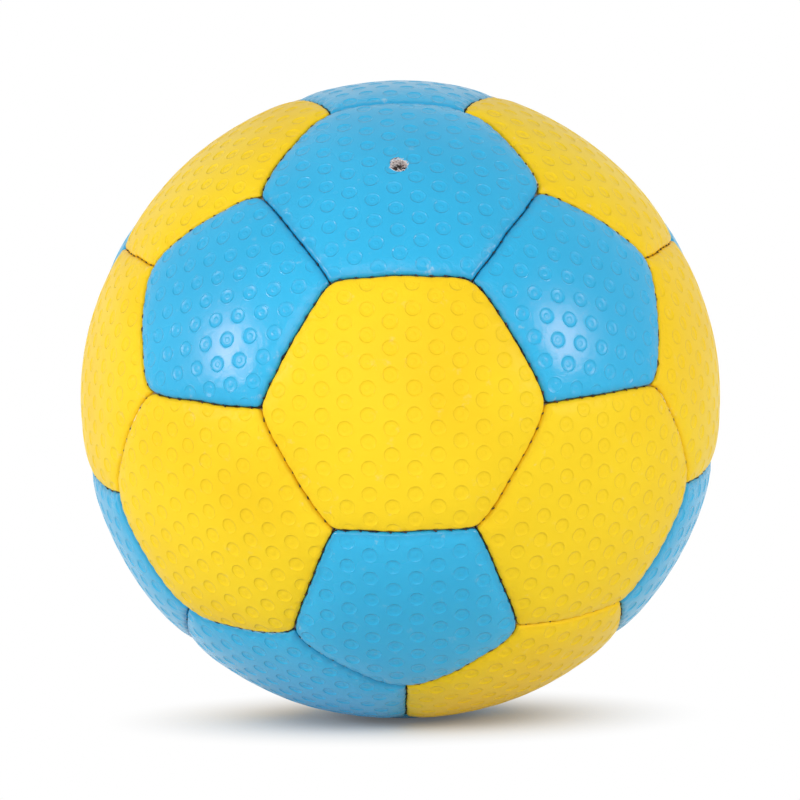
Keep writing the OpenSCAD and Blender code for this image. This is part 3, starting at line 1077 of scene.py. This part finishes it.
def make_leather(name, light, dark, groove_shade, gloss, shine, roughness):
    """Satin leather from a light and a dark tone of one colour, the tone of its grooves in which their shade
    is painted, and the tint and strength of its gloss."""
    material = bpy.data.materials.new(name)
    tree = empty_tree(material)
    place = add(tree, "TexCoord").outputs["Object"]
    dimple = use_group(tree, dimple_relief, {"Place": attribute(tree, "dimple_place", "Vector")})
    grain = use_group(tree, coating_grain, {"Place": place, "Scale": COATING_SCALE})
    marks = use_group(tree, handling, {"Place": place, "Size": CLOUD_SIZE})
    depth, near = attribute(tree, "depth"), attribute(tree, "seam_distance")
    two_colours, backing = attribute(tree, "two_colours"), attribute(tree, "backing")
    painted_shade = use_group(tree, seam_painted_shade, {"Depth": depth, "Distance": near, "Dark": two_colours,
                                         "Along": attribute(tree, "seam_along"), "Place": place})
    creases = use_group(tree, seam_creases, {"Place": place, "Distance": near})

    colour = mix(tree, marks["Tone"], light, dark)
    # Painted shade: the bowls of the dimples are darkened towards the dark tone
    colour = mix(tree, sums(tree, "MULTIPLY", dimple["Bowl"], BOWL_PAINTED_SHADE), colour, dark)
    worn = sums(tree, "MULTIPLY", marks["Scuff"], step(tree, near, *WEAR_STEP))
    colour = mix(tree, worn, colour, SCUFF_COLOUR)
    # Painted shade beside the seams: the colour goes towards the groove's darker tone
    colour = mix(tree, sums(tree, "MULTIPLY", painted_shade["Shade"], PAINTED_GROOVE_SHADE_SHARE), colour, groove_shade)
    # Painted shade deep in the seams: a dark line in the groove's tone, nearly black where the colours differ
    line = mix(tree, sums(tree, "MULTIPLY", two_colours, PAINTED_DARK_LINE_SHARE), groove_shade, PAINTED_DARK_LINE_COLOUR)
    colour = mix(tree, painted_shade["Line"], colour, line)
    colour = mix(tree, backing, colour, mix(tree, grain["Tone"], *BACKING_TONES))
    dull = total(tree, (dimple["Bowl"], BOWL_DULL), (marks["Tone"], CLOUD_DULL),
                 (painted_shade["Line"], LINE_DULL), (backing, BACKING_DULL))
    dull = sums(tree, "ADD", dull, roughness)

    fade = step(tree, near, *RELIEF_FADE)
    height = total(tree, (dimple["Height"], fade), (grain["Height"], GRAIN_H))
    height = sums(tree, "ADD", height, creases["Height"])
    bump = add(tree, "Bump", {"Height": height, "Strength": 1.0, "Distance": MM}).outputs[0]
    shader = add(tree, "BsdfPrincipled", {"Base Color": colour, "Roughness": dull, "Normal": bump,
                                          "Specular Tint": (*gloss, 1), "Specular IOR Level": shine})
    add(tree, "OutputMaterial", {"Surface": shader.outputs[0]})
    return material


yellow_leather = make_leather(
    "yellow_leather", light=(0.92, 0.645, 0.02), dark=(0.885, 0.585, 0.016), groove_shade=(0.84, 0.5, 0.01),
    gloss=(0.85, 0.8, 0.7), shine=0.11, roughness=0.34)
blue_leather = make_leather(
    "blue_leather", light=(0.024, 0.455, 0.775), dark=(0.019, 0.415, 0.715), groove_shade=(0.007, 0.15, 0.32),
    gloss=(1.0, 0.56, 0.48), shine=0.4, roughness=0.26)
LEATHER = dict(zip(COVER_SLOTS, (yellow_leather, blue_leather)))
for panel in panels:
    covers[panel.name].data.materials.append(LEATHER[panel.slot])
print("Leather in", len(LEATHER), "colours")

# %% [markdown]
# ## Thread, cloth, foam and rubber
#
# The rest of the ball is hidden when it is whole, but each layer has its own finish, so the parts look right
# when they are taken out: twisted waxed thread, woven cloth, open foam, and rubber with a fine moulded grain.
# Each of these patterns is a function that gives a height for the bump and a mask for the two tones.

# %% Patterns of the inner parts
def weave(tree, place):
    """Crossed ribs: the greater of two waves at right angles, with a little noise in them."""
    ribs = [add(tree, "TexWave", {"Vector": place, "Scale": 420.0, "Distortion": 0.6}, bands_direction=way)
            for way in ("X", "Z")]
    crossed = sums(tree, "MAXIMUM", ribs[0].outputs["Fac"], ribs[1].outputs["Fac"])
    return sums(tree, "ADD", crossed, noise(tree, place, scale=90.0, detail=3.0)), crossed


def cells(tree, place):
    """Open cells of foam: the distance to the nearest of scattered points."""
    made = add(tree, "TexVoronoi", {"Vector": place, "Scale": 1400.0}, feature="F1")
    return made.outputs["Distance"], step(tree, made.outputs["Distance"], low=0.1, high=0.6)


def moulding(tree, place):
    """Fine moulded grain with faint flow clouds."""
    grain = use_group(tree, coating_grain, {"Place": place, "Scale": 1300.0})
    return grain["Height"], step(tree, grain["Tone"], low=0.3, high=0.7)


def twist(tree, place):
    """Strands twisted round a waxed thread, with its tint as the mask."""
    wave = add(tree, "TexWave", {"Vector": place, "Scale": 900.0, "Distortion": 2.0},
               bands_direction="DIAGONAL")
    return wave.outputs["Fac"], step(tree, attribute(tree, "tint"), low=0.85, high=1.0)


def fibre(tree, place):
    """Fluffy fibres, most of them whitish and the rest a dirty brown."""
    fluff = noise(tree, place, scale=2500.0, detail=2.0)
    return fluff, step(tree, attribute(tree, "tint"), low=0.72, high=0.95)


print("Patterns: thread, cloth, foam, rubber and fray")

# %% Cloth, foam and rubber
# Scale of the marks of handling, the share of the second tone in them, and the roughness that they add
MARK_SIZE = 30.0
MARK_TINT = 0.3
MARK_DULL = 0.08


def finish(name, tones, roughness, relief, depth_mm):
    """A material whose colour runs between two tones and whose bump follows the same relief. The function
    relief is given the tree and the object's coordinates, and gives a height and a mask from 0 to 1."""
    material = bpy.data.materials.new(name)
    tree = empty_tree(material)
    place = add(tree, "TexCoord").outputs["Object"]
    height, mask = relief(tree, place)
    marks = use_group(tree, handling, {"Place": place, "Size": MARK_SIZE})
    colour = mix(tree, sums(tree, "MULTIPLY", marks["Tone"], MARK_TINT), mix(tree, mask, *tones), tones[1])
    rough = sums(tree, "ADD", sums(tree, "MULTIPLY", marks["Tone"], MARK_DULL), roughness)
    bump = add(tree, "Bump", {"Height": height, "Strength": 1.0, "Distance": depth_mm * MM}).outputs[0]
    shader = add(tree, "BsdfPrincipled", {"Base Color": colour, "Roughness": rough, "Normal": bump})
    add(tree, "OutputMaterial", {"Surface": shader.outputs[0]})
    return material


thread_finish = finish("waxed_thread", ((0.022, 0.016, 0.012), (0.11, 0.035, 0.022)), 0.55, twist, 0.06)
fray_finish = finish("frayed_backing", ((0.98, 0.93, 0.91), (0.14, 0.06, 0.045)), 0.85, fibre, 0.03)
foam_finish = finish("padding_foam", ((0.9, 0.88, 0.8), (0.72, 0.69, 0.58)), 0.85, cells, 0.25)
lining_finish = finish("cloth_lining", ((0.62, 0.58, 0.46), (0.84, 0.81, 0.7)), 0.9, weave, 0.2)
patch_finish = finish("patch_cloth", ((0.52, 0.48, 0.35), (0.74, 0.7, 0.56)), 0.92, weave, 0.25)
bladder_finish = finish("bladder_rubber", ((0.03, 0.03, 0.032), (0.055, 0.053, 0.052)), 0.5, moulding, 0.03)
valve_finish = finish("valve_rubber", ((0.025, 0.025, 0.027), (0.05, 0.048, 0.046)), 0.42, moulding, 0.02)
plug_finish = finish("valve_plug", ((0.1, 0.08, 0.07), (0.06, 0.05, 0.045)), 0.6, moulding, 0.04)

seam_stitches.data.materials.append(thread_finish)
valve_hole_fray.data.materials.append(fray_finish)
INNER = {
    "hexagon_foam_pads": foam_finish, "pentagon_foam_pads": foam_finish, "hexagon_linings": lining_finish,
    "pentagon_linings": lining_finish, "bladder": bladder_finish, "valve_body": valve_finish,
    "valve_core": plug_finish, "valve_patch": patch_finish,
}
for name, material in INNER.items():
    for slot in frame["nodes"][name].material_slots:
        slot.material = material
print("Finishes for", len(INNER), "inner parts")

# %% [markdown]
# ## Studio
#
# The ball stands on a pale floor before a white background. The white is seen by the camera, by reflections
# and by glass, but it doesn't light the ball: a dimmer world and three soft lamps do, at a level at which a
# colour renders about as it is written. The world is lighter towards the back, where no lamp reaches, so the
# far side of the ball reads as well as the near one. Close to the ball the floor is a real one, so that it
# holds the shadow. The ball's colours tint that shadow, so more than half of it is a painted shadow: a
# neutral grey glow that lightens with the distance.

# %% Floor
# Width of the floor in metres
FLOOR_SIZE = 4
FLOOR_COLOUR = (0.9, 0.9, 0.9, 1)
# Half widths in metres of the oval within which the floor isn't plain white, sideways and in depth
SHADE_REACH = (0.09, 0.06)
# The painted shadow's brightness from the middle of that oval outwards, its share of the shadow, and the
# white's share up to the rim
PAINTED_SHADOW_STEP = (0.1, 0.7, 0.15, 0.62)
PAINTED_SHADOW_SHARE = 0.6
WHITE_STEP = (0.28, 0.95)


def white_rays(tree):
    """1 for rays from the camera, in reflections and through glass, and 0 for the light that falls on
    things."""
    path = add(tree, "LightPath").outputs
    seen = sums(tree, "MAXIMUM", path["Is Camera Ray"], path["Is Glossy Ray"])
    return sums(tree, "MAXIMUM", seen, path["Is Transmission Ray"])


floor_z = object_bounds()[0][2]
corner = FLOOR_SIZE / 2 / MM
floor_points = np.array([(x, y, floor_z / MM) for x, y in ((-corner, -corner), (corner, -corner),
                                                           (corner, corner), (-corner, corner))])
floor = add_mesh("floor", floor_points, np.array([[0, 1, 2, 3]]), smooth=False)
pale = bpy.data.materials.new("pale_floor")
tree = empty_tree(pale)
flat = add(tree, "VectorMath", {0: add(tree, "TexCoord").outputs["Object"],
                                1: (1 / SHADE_REACH[0], 1 / SHADE_REACH[1], 0)}, operation="MULTIPLY")
out = add(tree, "VectorMath", {0: flat.outputs[0]}, operation="LENGTH").outputs["Value"]
shadow = add(tree, "BsdfDiffuse", {"Color": FLOOR_COLOUR}).outputs[0]
# Painted shadow: a neutral grey glow, darkest under the ball and lighter outwards
painted_shadow = add(tree, "Emission", {"Strength": step(tree, out, *PAINTED_SHADOW_STEP)}).outputs[0]
white = add(tree, "Emission", {"Color": (1, 1, 1, 1), "Strength": 1.0}).outputs[0]
seen = white_rays(tree)
painted_shadow_seen = sums(tree, "MULTIPLY", seen, PAINTED_SHADOW_SHARE)
real_and_painted_shadow = add(tree, "MixShader", {0: painted_shadow_seen, 1: shadow, 2: painted_shadow}).outputs[0]
share = sums(tree, "MULTIPLY", step(tree, out, *WHITE_STEP), seen)
blend = add(tree, "MixShader", {0: share, 1: real_and_painted_shadow, 2: white}).outputs[0]
add(tree, "OutputMaterial", {"Surface": blend})
floor.data.materials.append(pale)
print(f"Floor at {floor_z / MM:.2f} mm")

# %% World
# The world's light in front, what is added to it behind, and how far back that comes up
WORLD_LIGHT = 0.33
BACK_LIGHT = 0.5
BACK_STEP = (0.25, 0.9)

world = bpy.data.worlds.new("studio")
bpy.context.scene.world = world
tree = empty_tree(world)
backwards = add(tree, "SeparateXYZ", {0: add(tree, "TexCoord").outputs["Generated"]}).outputs["Y"]
even = step(tree, backwards, *BACK_STEP, WORLD_LIGHT, WORLD_LIGHT + BACK_LIGHT)
strength = add(tree, "MapRange", {"Value": white_rays(tree), "To Min": even, "To Max": 1.0}).outputs[0]
sky = add(tree, "Background", {"Color": (1, 1, 1, 1), "Strength": strength}).outputs[0]
add(tree, "OutputWorld", {"Surface": sky})
print("World light", WORLD_LIGHT, "in front and", WORLD_LIGHT + BACK_LIGHT, "behind")

# %% Lamps
def add_lamp(name, compass, elevation, distance, size, power):
    """A square area lamp aimed at the ball. Compass is measured from the camera towards +X, in degrees."""
    a, e = math.radians(compass), math.radians(elevation)
    way = np.array([math.sin(a) * math.cos(e), -math.cos(a) * math.cos(e), math.sin(e)])
    lamp = bpy.data.lights.new(name, "AREA")
    lamp.size = size
    lamp.energy = power
    holder = bpy.data.objects.new(name, lamp)
    holder.location = way * distance
    holder.rotation_euler = (math.radians(90 - elevation), 0, a)
    bpy.context.scene.collection.objects.link(holder)


add_lamp("front_lamp", compass=-6, elevation=10, distance=1.8, size=1.3, power=12.2)
add_lamp("left_lamp", compass=-62, elevation=15, distance=1.3, size=0.33, power=7.1)
add_lamp("right_lamp", compass=57, elevation=17, distance=1.3, size=0.34, power=5.9)
print("Three lamps")

# %% Camera
# Place of the camera, focal length and width of the sensor in millimetres
EYE = np.array([-5.05, -674.42, 11.65])
LENS = 110.07
SENSOR = 36
# Distance in metres from which the camera sees
NEAREST = 0.01
# Degrees by which the camera looks down, leans over and turns
DOWN, LEAN, TURN = 0.99, 0.88, -0.43

camera_data = bpy.data.cameras.new("camera")
camera_data.sensor_width = SENSOR
camera_data.lens = LENS
camera_data.clip_start = NEAREST
camera = bpy.data.objects.new("camera", camera_data)
camera.location = EYE * MM
camera.rotation_euler = (math.radians(90 - DOWN), math.radians(LEAN), math.radians(TURN))
bpy.context.scene.collection.objects.link(camera)
bpy.context.scene.camera = camera
bpy.context.scene.view_settings.view_transform = "Standard"
print("Camera", round(float(np.linalg.norm(EYE))), "mm from the ball's middle")
